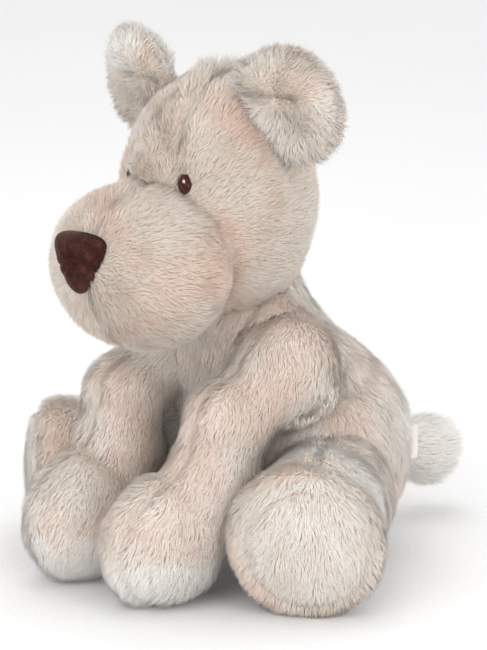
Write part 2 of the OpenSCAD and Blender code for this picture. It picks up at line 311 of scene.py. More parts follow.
BALLS = {"tail": tail_root_r}  # bodies that turn in the torso, with the radius of their ball end
for side in SIDES:
    BALLS["foreleg_" + side], BALLS["hindleg_" + side] = shoulder_r, hip_r


def in_socket(body, p, reach):
    """Which points lie in the hollows of a body, or within reach of them."""
    hollow = np.zeros(len(p), bool)
    if body == "torso":
        for child, r in BALLS.items():
            hollow |= socket(child, r - PILE + SOCKET_GAP)(p) < reach
    if body == "head":
        hollow |= ellipsoid(p, NECK, np.full(3, neck_r + NECK_GAP)) < reach
    return hollow


FORMS = {"torso": torso_form, "head": head_form, "tail": tail_form}
for side in SIDES:
    FORMS["ear_" + side] = ear_form(side)
    FORMS["foreleg_" + side] = foreleg_form(side)
    FORMS["hindleg_" + side] = hindleg_form(side)


def backing_field(body, sink=PILE):
    """The form of a body's backing: its outer form, set in by the pile, with its sockets."""

    def field(p):
        d = FORMS[body](p) + (sink if not body.startswith("ear") else sink * 0.5)
        d = -join(-d, -(sink * 0.5 - p[:, 2]), 3)
        if body == "torso":
            for child, r in BALLS.items():
                d = carve(d, socket(child, r - PILE + SOCKET_GAP)(p), 1)
        if body == "head":
            d = carve(d, ellipsoid(p, NECK, np.full(3, neck_r + NECK_GAP)), 2)
        return d

    return field


# ---------------------------------------------------------------- meshes


def new_object(name, verts, faces, material=None):
    """A mesh object from points in millimetres."""
    mesh = bpy.data.meshes.new(name)
    mesh.from_pydata((np.asarray(verts) * MM).tolist(), [], [list(map(int, f)) for f in faces])
    mesh.update()
    obj = bpy.data.objects.new(name, mesh)
    bpy.context.scene.collection.objects.link(obj)
    for m in [material] if material and not isinstance(material, list) else material or []:
        mesh.materials.append(m)
    return obj


def points_of(obj):
    co = np.empty(len(obj.data.vertices) * 3, np.float32)
    obj.data.vertices.foreach_get("co", co)
    return co.reshape(-1, 3).astype(float) / MM


def set_points(obj, points):
    obj.data.vertices.foreach_set("co", (points * MM).astype(np.float32).ravel())
    obj.data.update()


def smooth(obj):
    obj.data.polygons.foreach_set("use_smooth", np.ones(len(obj.data.polygons), bool))
    return obj


def gradient(field, p, step=0.5):
    parts = []
    for axis in np.eye(3):
        parts.append(field(p + axis * step) - field(p - axis * step))
    return np.stack(parts, 1) / (2 * step)


STEPS = np.eye(3, dtype=int)


def corner(array, offset, cells):
    """What a grid's array holds at one corner of every cell."""
    return array[tuple(slice(o, o + n) for o, n in zip(offset, cells))]


def net_points(d, grid, cell):
    """Mean crossing of the zero surface in each cell that it cuts, and every cell's index into them."""
    cells = tuple(n - 1 for n in d.shape)
    total, count = np.zeros(cells + (3,)), np.zeros(cells)
    for axis in range(3):
        u, v = STEPS[(axis + 1) % 3], STEPS[(axis + 2) % 3]
        for i, j in ((0, 0), (0, 1), (1, 0), (1, 1)):
            near = i * u + j * v
            a, b = corner(d, near, cells), corner(d, near + STEPS[axis], cells)
            cut = (a < 0) != (b < 0)
            t = np.where(cut, a / np.where(cut, a - b, 1), 0)
            point = corner(grid, near, cells) + t[..., None] * cell * STEPS[axis]
            total += np.where(cut[..., None], point, 0)
            count += cut
    used = count > 0
    index = np.full(cells, -1)
    index[used] = np.arange(used.sum())
    return total[used] / count[used][:, None], index


def net_quads(inside, index):
    """An outward quad round each grid edge that the zero surface cuts."""
    quads = []
    for axis in range(3):
        u, v = STEPS[(axis + 1) % 3], STEPS[(axis + 2) % 3]
        start = corner(inside, (0, 0, 0), index.shape)
        end = corner(inside, STEPS[axis], index.shape)
        at = np.argwhere(start != end)
        at = at[(at @ u > 0) & (at @ v > 0)]
        quad = np.stack([index[tuple(c.T)] for c in (at, at - u, at - u - v, at - v)], 1)
        flip = ~start[tuple(at.T)]
        quad[flip] = quad[flip][:, ::-1]
        quads.append(quad)
    return np.concatenate(quads)


def net(field, low, high, cell):
    """Points and outward quads of a closed surface net over the field's zero surface."""
    axes = [np.arange(a - GRID_MARGIN, b + GRID_MARGIN + cell, cell) for a, b in zip(low, high)]
    grid = np.stack(np.meshgrid(*axes, indexing="ij"), -1)
    d = field(grid.reshape(-1, 3)).reshape(grid.shape[:3])
    points, index = net_points(d, grid, cell)
    for _ in range(3):
        g = gradient(field, points)
        move = -(field(points) / np.maximum((g * g).sum(1), 0.2))[:, None] * g
        size = np.linalg.norm(move, axis=1, keepdims=True)
        points = points + move * np.minimum(1, 0.3 * cell / np.maximum(size, 1e-9))
    return points, net_quads(d < 0, index)


# ---------------------------------------------------------------- noise


class Noise:
    """A smooth random field of about that wavelength, with a spread of 1, the same at every run."""

    def __init__(self, seed, wavelength, waves=20):
        rng = np.random.default_rng(seed)
        k = unit(rng.normal(size=(waves, 3))) * rng.uniform(0.7, 1.35, (waves, 1))
        self.k, self.phase = k * 2 * np.pi / wavelength, rng.uniform(0, 2 * np.pi, waves)

    def __call__(self, p):
        return np.sin(p @ self.k.T + self.phase).sum(1) * math.sqrt(2 / len(self.phase))


PATCH = Noise(11, 46)
BLOTCH = Noise(12, 17)
WAVE = [Noise(20 + i, 12) for i in range(3)]
CRUMPLE = Noise(31, 26)

# ---------------------------------------------------------------- seams


def strip_half(p):
    """Half width of the strip over the skull: narrow over the crown, full at the back of the neck."""
    front = np.interp(p[:, 2], [198, 212, 231, 247], [13.5, 12.5, 8, 5])
    back = np.interp(p[:, 2], [140, 247], [STRIP_HALF, 8])
    return np.where(p[:, 1] < skull_mid[1], front, back)


NO_SEAM = 60  # added to the distance from a seam where it doesn't run


def seam_distance(body):
    """How far points lie from the nearest seam of that body, in millimetres."""

    def torso(p):
        front = np.abs(np.abs(p[:, 0]) - BELLY_HALF) + NO_SEAM * (p[:, 1] > -10)
        back = np.abs(p[:, 0]) + NO_SEAM * (p[:, 1] < 0)
        return np.minimum(front, back)

    def head(p):
        strip = np.abs(np.abs(p[:, 0]) - strip_half(p))
        snout = np.abs(ellipsoid(p, skull_mid, skull_r) - ellipsoid(p, snout_mid, snout_r))
        on_snout = ellipsoid(p, snout_mid, snout_r) < ellipsoid(p, skull_mid, skull_r)
        chin = np.abs(p[:, 0]) + NO_SEAM * ~on_snout
        return np.min([np.where(on_snout, NO_SEAM, strip), snout, chin], 0)

    def ear(p):
        return np.abs(EAR[body[4:]].local(p)[:, 1])

    def foreleg(p):
        m = LIMB_SIDE[body[8:]]
        return np.abs((p * m)[:, 0] - (PIVOT[body] * m)[0] + LEG_SEAM)

    def hindleg(p):
        q = (p - PIVOT[body]) @ leg_axes(body[8:]).T
        rim = np.abs(np.hypot(q[:, 1], q[:, 2] + SOLE_DROP) - SOLE_R) + NO_SEAM * (q[:, 0] < foot_reach)
        side_seam = np.abs(q[:, 1]) + NO_SEAM * (q[:, 0] > foot_reach)
        return np.minimum(rim, side_seam)

    def tail(p):
        return np.abs((p - PIVOT["tail"]) @ TAIL_UP)

    kinds = dict(torso=torso, head=head, ear=ear, foreleg=foreleg, hindleg=hindleg, tail=tail)
    return kinds[body.split("_")[0]]


# ---------------------------------------------------------------- materials


def principled(name, **values):
    m = bpy.data.materials.new(name)
    m.use_nodes = True
    shader = m.node_tree.nodes["Principled BSDF"]
    for key, value in values.items():
        shader.inputs[key].default_value = value
    return m, m.node_tree, shader


def rgb(r, g, b):
    """A colour given from 0 to 255 on the screen, as the linear colour that shaders take."""
    return tuple(((c / 255 + 0.055) / 1.055) ** 2.4 for c in (r, g, b)) + (1.0,)


def fibre_material(name, colour, sheen=0.3):
    """One shade of the pile, for its dye and for its painted light and shade. Its pattern comes from the mesh,
    where shades lie side by side.
    """
    return principled(name, **{
        "Base Color": colour, "Roughness": 0.75, "Sheen Weight": sheen, "Sheen Roughness": 0.5,
        "Specular IOR Level": 0.2,
    })[0]


def cloth_material(name, dark, light, scale=60, weave=900, roughness=0.9):
    """Woven backing: blotches of two tones under a fine weave."""
    m, tree, shader = principled(name, **{"Roughness": roughness, "Specular IOR Level": 0.2})
    place = tree.nodes.new("ShaderNodeTexCoord")
    blotch = tree.nodes.new("ShaderNodeTexNoise")
    blotch.inputs["Scale"].default_value = scale
    blotch.inputs["Detail"].default_value = 4
    ramp = tree.nodes.new("ShaderNodeValToRGB")
    ramp.color_ramp.elements[0].color, ramp.color_ramp.elements[1].color = dark, light
    ramp.color_ramp.elements[0].position, ramp.color_ramp.elements[1].position = 0.35, 0.65
    wave = tree.nodes.new("ShaderNodeTexVoronoi")
    wave.inputs["Scale"].default_value = weave
    bump = tree.nodes.new("ShaderNodeBump")
    bump.inputs["Strength"].default_value = 0.4
    bump.inputs["Distance"].default_value = 0.0004
    link = tree.links.new
    link(place.outputs["Object"], blotch.inputs["Vector"])
    link(place.outputs["Object"], wave.inputs["Vector"])
    link(blotch.outputs["Fac"], ramp.inputs["Fac"])
    link(ramp.outputs["Color"], shader.inputs["Base Color"])
    link(wave.outputs["Distance"], bump.inputs["Height"])
    link(bump.outputs["Normal"], shader.inputs["Normal"])
    return m


backing_cloth = cloth_material("fur_backing", rgb(206, 186, 171), rgb(224, 207, 194))
# Shades of the pile: a warm row and a cool row, each from its darkest to its lightest. They serve both the pile's
# own dye and the painted light and shade that the coats below put into its tone
PILE_COLOURS = [
    (188, 157, 139), (200, 171, 153), (212, 185, 168), (222, 199, 184), (231, 212, 199),
    (239, 224, 213), (246, 236, 228),
    (184, 167, 152), (196, 180, 166), (208, 193, 179), (219, 207, 195), (229, 219, 208),
    (238, 230, 221), (246, 242, 236),
]
TONES = len(PILE_COLOURS) // 2
PILE_SHADES = [fibre_material("pile_shade_%d" % i, rgb(*c)) for i, c in enumerate(PILE_COLOURS)]

# ---------------------------------------------------------------- backings


def make_backing(body):
    field = backing_field(body)
    low, high = span(*frame["record"]["behaviour"]["bodies"][body])
    points, quads = net(field, low, high, CELL if not body.startswith("ear") else CELL * 0.6)
    obj = new_object(body + "_backing", points, quads, backing_cloth)
    return smooth(obj)


def swell(objects):
    """Blows the backings up from inside, held at their seams, and keeps the result in the meshes."""
    rest = {}
    for obj, body in objects:
        rest[obj.name] = points_of(obj)
        pins = obj.vertex_groups.new(name="seams")
        near = seam_distance(body)(rest[obj.name]) < CELL * 0.7
        flat = rest[obj.name][:, 2] < PILE
        held = near | flat | in_socket(body, rest[obj.name], 3.0)
        pins.add(np.flatnonzero(held).tolist(), 1.0, "REPLACE")
        cloth = obj.modifiers.new("Filling", "CLOTH").settings
        cloth.quality = 4
        cloth.mass = 0.002
        cloth.use_pressure = True
        cloth.uniform_pressure_force = PRESSURE
        cloth.vertex_group_mass = "seams"
        cloth.tension_stiffness = cloth.compression_stiffness = 8
        cloth.shear_stiffness = 3
        cloth.bending_stiffness = 0.5
        cloth.effector_weights.gravity = 0
    for step in range(1, 21):
        bpy.context.scene.frame_set(step)
    graph = bpy.context.evaluated_depsgraph_get()
    for obj, body in objects:
        blown = obj.evaluated_get(graph).data
        co = np.empty(len(blown.vertices) * 3, np.float32)
        blown.vertices.foreach_get("co", co)
        move = co.reshape(-1, 3) / MM - rest[obj.name]
        size = np.linalg.norm(move, axis=1, keepdims=True)
        move *= np.minimum(1, SWELL_CAP / np.maximum(size, 1e-6))
        obj.modifiers.clear()
        obj.vertex_groups.clear()
        set_points(obj, rest[obj.name] + move)
    bpy.context.scene.frame_set(1)


def subdivide(obj):
    modifier = obj.modifiers.new("Soft", "SUBSURF")
    modifier.levels = modifier.render_levels = 1
    graph = bpy.context.evaluated_depsgraph_get()
    mesh = bpy.data.meshes.new_from_object(obj.evaluated_get(graph))
    obj.modifiers.clear()
    old = obj.data
    obj.data = mesh
    bpy.data.meshes.remove(old)
    return smooth(obj)


SEAM_DEPTH = {"tail": 0.5}  # where it isn't the usual one, in millimetres


def crease(obj, body):
    """Draws the backing in along its seams."""
    p = points_of(obj)
    n = np.empty(len(p) * 3, np.float32)
    obj.data.vertex_normals.foreach_get("vector", n)
    depth = SEAM_DEPTH.get(body, SEAM_DRAW) * np.exp(-((seam_distance(body)(p) / SEAM_WIDTH) ** 2))
    set_points(obj, p - n.reshape(-1, 3) * depth[:, None])


# ---------------------------------------------------------------- pile


def sample(obj, count, rng):
    """Random points on a mesh, evenly by area, with smooth normals, in millimetres."""
    mesh = obj.data
    mesh.calc_loop_triangles()
    tri = np.empty(len(mesh.loop_triangles) * 3, np.int32)
    mesh.loop_triangles.foreach_get("vertices", tri)
    tri = tri.reshape(-1, 3)
    p = points_of(obj)
    n = np.empty(len(p) * 3, np.float32)
    mesh.vertex_normals.foreach_get("vector", n)
    n = n.reshape(-1, 3)
    a, b, c = p[tri[:, 0]], p[tri[:, 1]], p[tri[:, 2]]
    area = np.linalg.norm(np.cross(b - a, c - a), axis=1) / 2
    pick = rng.choice(len(tri), count, p=area / area.sum())
    w = rng.dirichlet((1, 1, 1), count)
    at = (p[tri[pick]] * w[..., None]).sum(1)
    normal = unit((n[tri[pick]] * w[..., None]).sum(1))
    return at, normal, area.sum()


FIBRE_FACES = [(2, 1, 0), (0, 1, 4, 3), (1, 2, 5, 4), (2, 0, 3, 5), (3, 4, 6), (4, 5, 6), (5, 3, 6)]
FIBRE_CORNERS = np.concatenate([np.array(f) for f in FIBRE_FACES])


def fibre_shape(root, middle, tip, out, thick):
    """Seven corners of each fibre and their normals. A fibre is a closed, flattened spike in two
    lengths, with its ridge below. The normals of its flat top lean towards out, the skin's own, so that
    the pile shades as softly as fine hair, and those of its ridge look down and forward."""
    along_it = unit(tip - root)
    side = unit(np.cross(along_it, out))
    up = unit(np.cross(side, along_it))
    ring = np.stack([side, -FIBRE_FLAT * up, -side]) * thick[:, None]
    verts = np.concatenate([root + ring, middle + ring * 0.85, tip[None]])
    face = unit(up + SOFT_SHADE * out)
    lean = 0.25 * side
    root_rim = [face + lean, unit(0.6 * along_it - up), face - lean]
    middle_rim = [v + 0.25 * along_it for v in root_rim]
    normals = np.stack(root_rim + middle_rim + [face + 0.7 * along_it], 1)
    return verts.transpose(1, 0, 2).reshape(-1, 3), unit(normals)


def fibre_mesh(name, root, middle, tip, out, thick, low_shade, high_shade, shades):
    """Curved tapered fibres in one mesh object."""
    n = len(root)
    verts, normals = fibre_shape(root, middle, tip, out, thick)
    sizes = np.tile([len(f) for f in FIBRE_FACES], n)
    loops = (FIBRE_CORNERS + 7 * np.arange(n)[:, None]).ravel()
    mesh = bpy.data.meshes.new(name)
    mesh.vertices.add(7 * n)
    mesh.vertices.foreach_set("co", (verts * MM).astype(np.float32).ravel())
    mesh.loops.add(len(loops))
    mesh.loops.foreach_set("vertex_index", loops.astype(np.int32))
    mesh.polygons.add(len(sizes))
    starts = np.concatenate([[0], np.cumsum(sizes)[:-1]])
    mesh.polygons.foreach_set("loop_start", starts.astype(np.int32))
    for m in shades:
        mesh.materials.append(m)
    shade = np.stack([low_shade] * 4 + [high_shade] * 3, 1).ravel()
    mesh.polygons.foreach_set("material_index", shade.astype(np.int32))
    mesh.polygons.foreach_set("use_smooth", np.ones(len(sizes), bool))
    mesh.update(calc_edges=True)
    custom = mesh.attributes.new("custom_normal", "FLOAT_VECTOR", "POINT")
    custom.data.foreach_set("vector", normals.astype(np.float32).ravel())
    obj = bpy.data.objects.new(name, mesh)
    bpy.context.scene.collection.objects.link(obj)
    return obj


def locks(p, spacing, tip, pull, rng):
    """Draws the tips together into locks about that far apart."""
    count = max(int(len(p) / (2.0 * spacing**2)), 8)
    picked = rng.choice(len(p), min(count, len(p)), replace=False)
    tree = KDTree(len(picked))
    for i, k in enumerate(picked):
        tree.insert(p[k], i)
    tree.balance()
    lead = np.array([tree.find(q)[1] for q in p.tolist()])
    return tip + (tip[picked[lead]] - tip) * pull


def covered(body, p):
    """Which points of a body's skin lie too deep in another body for a pile."""
    deep = np.zeros(len(p), bool)
    for other in FORMS:
        if other != body:
            deep |= backing_field(other)(p) < -BURIED
    if body == "torso":
        for child, r in BALLS.items():
            deep |= socket(child, r - BALD_SOCKET)(p) < 0
    if body == "head":
        deep |= ellipsoid(p, NECK, np.full(3, neck_r + BALD_NECK)) < 0
    return deep


def shade_at(tone, warm):
    """The pile shade nearest to a tone, from 0 to TONES - 1, in its warm or its cool row."""
    row = np.where(warm > 0, 0, TONES)
    return row + np.clip(np.round(tone), 0, TONES - 1).astype(int)


EAR_LEAN, EAR_RIM_LEAN = 0.5, 1.3  # how far an ear's shading leans along its pile, and more at its rim
# The lower part's lower tone is partly the pile's own darker roots and partly painted shade deep in the pile
LOW_TONE, HIGH_TONE = 3.4, 4.0  # tone of a plain fibre's lower and upper part


def comb(body, p, n, mess, rng):
    """The direction of each fibre in the skin, brushed along the flow and swayed by the mess."""
    way = FLOWS[body](p, n)
    way = unit(way - n * (way * n).sum(1)[:, None])
    sway = np.stack([w(p) for w in WAVE], 1)
    sway -= n * (sway * n).sum(1)[:, None]
    return unit(way + mess[:, None] * (sway + 0.35 * rng.normal(size=p.shape)))


def lay(p, n, way, coat, rng):
    """Root, middle and tip of each fibre, which rises steeply and then bends down."""
    length, rise, mess = coat
    size = (length * rng.uniform(0.8, 1.12, len(p)))[:, None]
    rise = np.radians(rise + 3.5 * rng.normal(size=len(p)) + 25 * mess * CRUMPLE(p))[:, None]
    low_rise = rise + np.radians(16)
    start = n * np.sin(low_rise) + way * np.cos(low_rise)
    end = n * np.sin(rise) + way * np.cos(rise)
    tip = p + size * (0.45 * start + 0.58 * end)
    tip = locks(p, 6.0, tip, 0.12, rng)
    middle = p + 0.47 * size * start
    middle = 0.75 * middle + 0.25 * (p + tip) / 2 + rng.normal(size=p.shape) * 0.15
    root = p - n * 0.6
    for q in (middle, tip, root):
        q[:, 2] = np.maximum(q[:, 2], 0.3)
    return root, middle, tip


def dye_and_painted_light(p, tone, warm, rng):
    """Shades of the lower and the upper part of each fibre, in soft patches. The lower part is darker, partly the
    pile's own darker roots and partly painted shade deep in the pile; the tone passed in also carries the coats'
    painted light and shade.
    """
    tone = tone + 0.3 * PATCH(p) + 0.2 * BLOTCH(p)
    own = 0.2 * rng.normal(size=len(p))
    warm = warm + 0.45 * PATCH(p[:, [1, 2, 0]]) + 0.25 * rng.normal(size=len(p))
    return shade_at(LOW_TONE + tone + own, warm), shade_at(HIGH_TONE + tone + own, warm)


def grow(body, obj, rng):
    """Pile on a body's backing, in pieces for each panel under it."""
    kind = body.split("_")[0]
    count = int(sample(obj, 1, rng)[2] * DENSITY)
    p, n, _ = sample(obj, count, rng)
    keep = ~covered(body, p)
    p, n = p[keep], n[keep]
    length, rise, mess, tone, warm = COATS[kind](body, p, n)
    way = comb(body, p, n, mess, rng)
    points = lay(p, n, way, (length, rise, mess), rng)
    thick = FIBRE_R * rng.uniform(0.75, 1.15, len(p))
    low_shade, high_shade = dye_and_painted_light(p, tone, warm, rng)
    skin = n
    if kind == "ear":
        skin = unit(n + (EAR_LEAN + EAR_RIM_LEAN * ear_rim(body, p))[:, None] * way)
    panels = PANELS[body](p, n)
    for panel in sorted(set(panels)):
        at = np.flatnonzero(panels == panel)
        for i in range(0, len(at), PIECE_FIBRES):
            k = at[i:i + PIECE_FIBRES]
            name = panel + "_pile" + ("" if i == 0 else "_%d" % (i // PIECE_FIBRES + 1))
            piece = fibre_mesh(name, *(q[k] for q in points), skin[k], thick[k], low_shade[k],
                               high_shade[k], PILE_SHADES)
            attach(piece, body)
            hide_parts(panel)


# Panels: which CAD cover a point of a body's skin belongs to


def torso_panel(p, n):
    side = np.where(p[:, 0] > 0, "torso_back_left", "torso_back_right")
    side = np.where((np.abs(p[:, 0]) < BELLY_HALF) & (p[:, 1] < -12), "belly_cover", side)
    return np.where((p[:, 2] < 6) & (np.hypot(p[:, 0], p[:, 1]) < 36), "seat_cover", side)


def head_panel(p, n):
    snout = ellipsoid(p, snout_mid, snout_r) < ellipsoid(p, skull_mid, skull_r)
    side = np.where(p[:, 0] > 0, "left", "right")
    part = np.where(snout, "muzzle_", "head_")
    name = np.char.add(part, side)
    return np.where(~snout & (np.abs(p[:, 0]) < strip_half(p)), "forehead_strip", name)


def ear_panel(side):
    def panel(p, n):
        front = EAR[side].local(p)[:, 1] < 0
        return np.where(front, "ear_front_" + side, "ear_back_" + side)

    return panel


def foreleg_panel(side):
    m = LIMB_SIDE[side]

    def panel(p, n):
        outer = (p * m)[:, 0] > (PIVOT["foreleg_" + side] * m)[0] - LEG_SEAM
        name = np.where(outer, "foreleg_outer_" + side, "foreleg_inner_" + side)
        return np.where(p[:, 2] < 17, "paw_sole_" + side, name)

    return panel


def hindleg_panel(side):
    axes, hip = leg_axes(side), PIVOT["hindleg_" + side]
    sign = SIDES[side]

    def panel(p, n):
        q = (p - hip) @ axes.T
        name = np.where(q[:, 1] * sign > 0, "hindleg_outer_" + side, "hindleg_inner_" + side)
        sole = (q[:, 0] > foot_reach + 1) & (np.hypot(q[:, 1], q[:, 2] + SOLE_DROP) < SOLE_R)
        return np.where(sole, "foot_sole_" + side, name)

    return panel


def tail_panel(p, n):
    return np.where((p - PIVOT["tail"]) @ TAIL_UP > 0, "tail_upper", "tail_lower")


# Flow: which way the pile is brushed


def torso_flow(p, n):
    """Down the back, turning along the forelegs near them."""
    way = np.tile([0, 0.35, -1.0], (len(p), 1))
    for s in SIDES:
        near = np.exp(-np.maximum(FORMS["foreleg_" + s](p), 0) / 18)
        way += 1.3 * near[:, None] * unit(paw_at) * LIMB_SIDE[s]
    return way


def from_nose(p, n):
    return p - (nose_mid + np.array([0, 8, -4]))


def ear_flow(side):
    def flow(p, n):
        q = EAR[side].local(p)
        out = q - np.where(q[:, 1:2] < 0, EAR_FOLD[1], (0, 0, -8.0))
        out[:, 1] = 0
        return EAR[side].world(out) - EAR[side].origin

    return flow


def foreleg_flow(side):
    m = LIMB_SIDE[side]
    axis = unit(paw_at) * m

    def flow(p, n):
        shoulder = bell(np.linalg.norm(p - PIVOT["foreleg_" + side], axis=1), 34)[:, None]
        return axis + np.array([0, 0, -0.4]) + shoulder * np.array([1.1, 0, 0]) * m

    return flow


def hindleg_flow(side):
    """Forward along the leg and down both its flanks, on over the rim and down the sole."""
    axes, hip = leg_axes(side), PIVOT["hindleg_" + side]

    def flow(p, n):
        across = ((p - hip) @ axes.T)[:, 1] / 30
        return np.stack([0 * across + 0.45, 0.8 * across, 0 * across - 1.0], 1) @ axes

    return flow


def tail_flow(p, n):
    return np.tile([0, 1.0, 0], (len(p), 1))


# Coats: length in mm, rise in degrees, mess, tone and warmth of the pile at each point. Tone holds the pile's dye
# and, where noted, painted light and shade


def bell(distance, width):
    return np.exp(-((distance / width) ** 2))


def plain_coat(p, length=7.0, rise=15.0, mess=0.18, tone=0.0, warm=0.0):
    return [np.full(len(p), float(v)) for v in (length, rise, mess, tone, warm)]


def torso_coat(body, p, n):
    length, rise, mess, tone, warm = plain_coat(p, length=7.5)
    fold_shade = bell(along(np.abs(p * (1, 0, 0)) + p * (0, 1, 1), HAUNCH_FOLD), 7)
    gap = np.min([np.maximum(FORMS[limb](p), 0) for limb in BALLS], 0)
    beside = bell(gap, 5)
    painted_light_behind = np.clip(p[:, 1] / 40, 0, 1)
    # Painted light and shade: the torso's pile is set lighter overall and lighter still towards the back, and
    # darker along the haunch fold, where shade falls
    return length * (1 - 0.4 * beside), rise * (1 - 0.5 * beside), mess, \
        tone + 0.7 + 0.9 * painted_light_behind - 0.4 * fold_shade, warm


def head_coat(body, p, n):
    length, rise, mess, tone, warm = plain_coat(p, length=6.0)
    skull, snout = ellipsoid(p, skull_mid, skull_r), ellipsoid(p, snout_mid, snout_r)
    strip = (snout > skull) & (np.abs(p[:, 0]) < strip_half(p)) & (p[:, 2] > 185)
    valley = bell(skull - snout, 7) * (p[:, 2] < 195)
    crown = bell(np.linalg.norm(p - (0, skull_mid[1] - 6, skull_high[2]), axis=1), 20) * strip
    blush = bell(np.linalg.norm(np.abs(p * (1, 0, 0)) + p * (0, 1, 1) - (44, -108, 160), axis=1), 22)
    length += 3.5 * crown + 1.0 * strip
    rise += 26 * crown + 10 * strip
    mess += 0.4 * strip
    # Painted shade: the head's whole pile is a shade darker to offset the strong front light on it, darker still
    # on the forehead strip, where shade falls, and on the snout, and a little darker in the valley between skull
    # and snout. The warmth terms are its own tint
    return length, rise, mess, tone - 1.0 - 0.7 * strip - 0.2 * valley - 0.4 * (snout < skull), \
        warm - 0.3 + 0.5 * valley + 0.4 * blush - 0.4 * strip


# Painted light and shade of each ear's flap and roll, lighter or darker as light falls on them in one view, so the
# two ears differ in colour
EAR_PAINTED_LIGHT = {"left": (0.9, -0.6), "right": (-1.2, 1.4)}  # of the flap and of the roll


def ear_rim(body, p):
    """1 on the rim of an ear, falling to 0 on its faces."""
    q = EAR[body[4:]].local(p)
    return bell(np.hypot(q[:, 0], q[:, 2] - ear_mid[2]) - ear_r, 8)


def ear_coat(body, p, n):
    length, rise, mess, tone, warm = plain_coat(p, length=5.6, tone=0.2)
    q = EAR[body[4:]].local(p)
    flap = np.clip(0.5 - (q - EAR_FOLD[1]) @ FOLD_SIDE / 10, 0, 1) * np.clip(0.5 - q[:, 1] / 4, 0, 1)
    rim = ear_rim(body, p)
    fold_shade = bell(along(q, EAR_FOLD), 6)
    on_flap, on_roll = EAR_PAINTED_LIGHT[body[4:]]
    # Painted light and shade on the flap and roll, and painted shade darkening the pile along the slit under the
    # roll
    tone += flap * on_flap + (1 - flap) * on_roll - 0.6 * fold_shade
    return length + 1.5 * rim, rise + 10 * rim + 8 * flap, mess + 0.15 * flap, tone, warm - 0.8 * flap


def foreleg_coat(body, p, n):
    length, rise, mess, tone, warm = plain_coat(p)
    pale = np.clip((34 - p[:, 2]) / 18, 0, 1)
    # Painted light: the front leg's pile is set half a shade lighter, and much paler and cooler towards its lower
    # end, where the floor's light bounces up onto it
    return length, rise + 6 * pale, mess, tone + 0.5 + 2.6 * pale, warm - pale


def hindleg_coat(body, p, n):
    length, rise, mess, tone, warm = plain_coat(p)
    q = (p - PIVOT[body]) @ leg_axes(body[8:]).T
    foot = np.clip((q[:, 0] - 48) / 10, 0, 1)
    sole = np.clip((34 - np.hypot(q[:, 1], q[:, 2])) / 8, 0, 1) * foot
    # Painted light and shade: the hip end is two shades lighter to offset the shade on its pile, and the foot's
    # top a little darker. The paler, cooler sole is its own colour
    return length - 0.5 * sole, rise + 4 * foot, mess, \
        tone + 2.0 * (1 - foot) - 0.4 * foot + 1.4 * sole, warm - 1.5 * sole


def tail_coat(body, p, n):
    length, rise, mess, tone, warm = plain_coat(p, length=9.5, tone=2.1, warm=-0.8)
    end = np.clip((p[:, 1] - PIVOT["tail"][1] - 30) / 20, 0, 1)
    return length + 2 * end, rise + 12 * end, mess, tone, warm


COATS = dict(torso=torso_coat, head=head_coat, ear=ear_coat, foreleg=foreleg_coat,
             hindleg=hindleg_coat, tail=tail_coat)
PANELS = {"torso": torso_panel, "head": head_panel, "tail": tail_panel}
FLOWS = {"torso": torso_flow, "head": from_nose, "tail": tail_flow}
for side in SIDES:
    PANELS["ear_" + side], FLOWS["ear_" + side] = ear_panel(side), ear_flow(side)
    PANELS["foreleg_" + side], FLOWS["foreleg_" + side] = foreleg_panel(side), foreleg_flow(side)
    PANELS["hindleg_" + side], FLOWS["hindleg_" + side] = hindleg_panel(side), hindleg_flow(side)


# ---------------------------------------------------------------- nose, eyes, inner pieces
nose_cloth = cloth_material("nose_velour", rgb(52, 25, 20), rgb(84, 46, 37), scale=90, weave=1500)
eye_thread = cloth_material("eye_thread", rgb(52, 26, 21), rgb(86, 48, 40), scale=400, roughness=0.6)
glint_thread = cloth_material("glint_thread", rgb(214, 190, 184), rgb(236, 222, 216), scale=400)
pouch_cloth = cloth_material("pouch_cloth", rgb(186, 186, 176), rgb(208, 208, 198))
pellet_plastic = cloth_material("pellet_plastic", rgb(214, 214, 222), rgb(232, 232, 238), roughness=0.4)
label_tape = cloth_material("label_tape", rgb(228, 225, 218), rgb(240, 238, 232), roughness=0.5)
floor_paint = cloth_material("floor_paint", rgb(237, 237, 237), rgb(239, 239, 239), scale=3, weave=700)


NOSE_SHADES = [fibre_material("nose_shade_%d" % i, rgb(*c), sheen=0.1)
               for i, c in enumerate([(58, 27, 21), (72, 35, 28), (88, 46, 37), (104, 58, 47)])]
NOSE_R, NOSE_SOFT = 5.8, 4.2  # its half thickness, and how round its corners are
NOSE_CORNERS = np.array([(-9.4, 6.6), (9.4, 6.6), (0.0, -9.6)])
NOSE_PUCKER = np.array([1.0, -0.5])  # where its cloth is gathered


def nose_form(p):
    """A cushion over a rounded triangle, gathered at one point in its front."""
    q = p - nose_mid - np.array([0, 1.5, 0])
    flat = q[:, [0, 2]]
    edges = []
    for a, b in zip(NOSE_CORNERS, np.roll(NOSE_CORNERS, -1, 0)):
        way = unit(b - a)
        edges.append((flat - a) @ np.array([-way[1], way[0]]))
    side = NOSE_SOFT * np.log(np.exp(np.array(edges) / NOSE_SOFT).sum(0))
    side = np.maximum(side, 0)
    off = flat - NOSE_PUCKER
    rho, turn = np.hypot(*off.T), np.arctan2(off[:, 1], off[:, 0])
    d = np.hypot(side, q[:, 1] * 0.8) - NOSE_R
    front = q[:, 1] < 0
    folds = 0.5 * np.cos(9 * turn + 1.3 * np.sin(2 * turn)) * bell(rho - 5, 4)
    return d + front * (3.2 * bell(rho, 2.6) + folds)


def nose_flow(p, n):
    """Outward from the gathered point."""
    way = p - nose_mid
    way[:, [0, 2]] -= NOSE_PUCKER
    way[:, 1] = 0
    return way


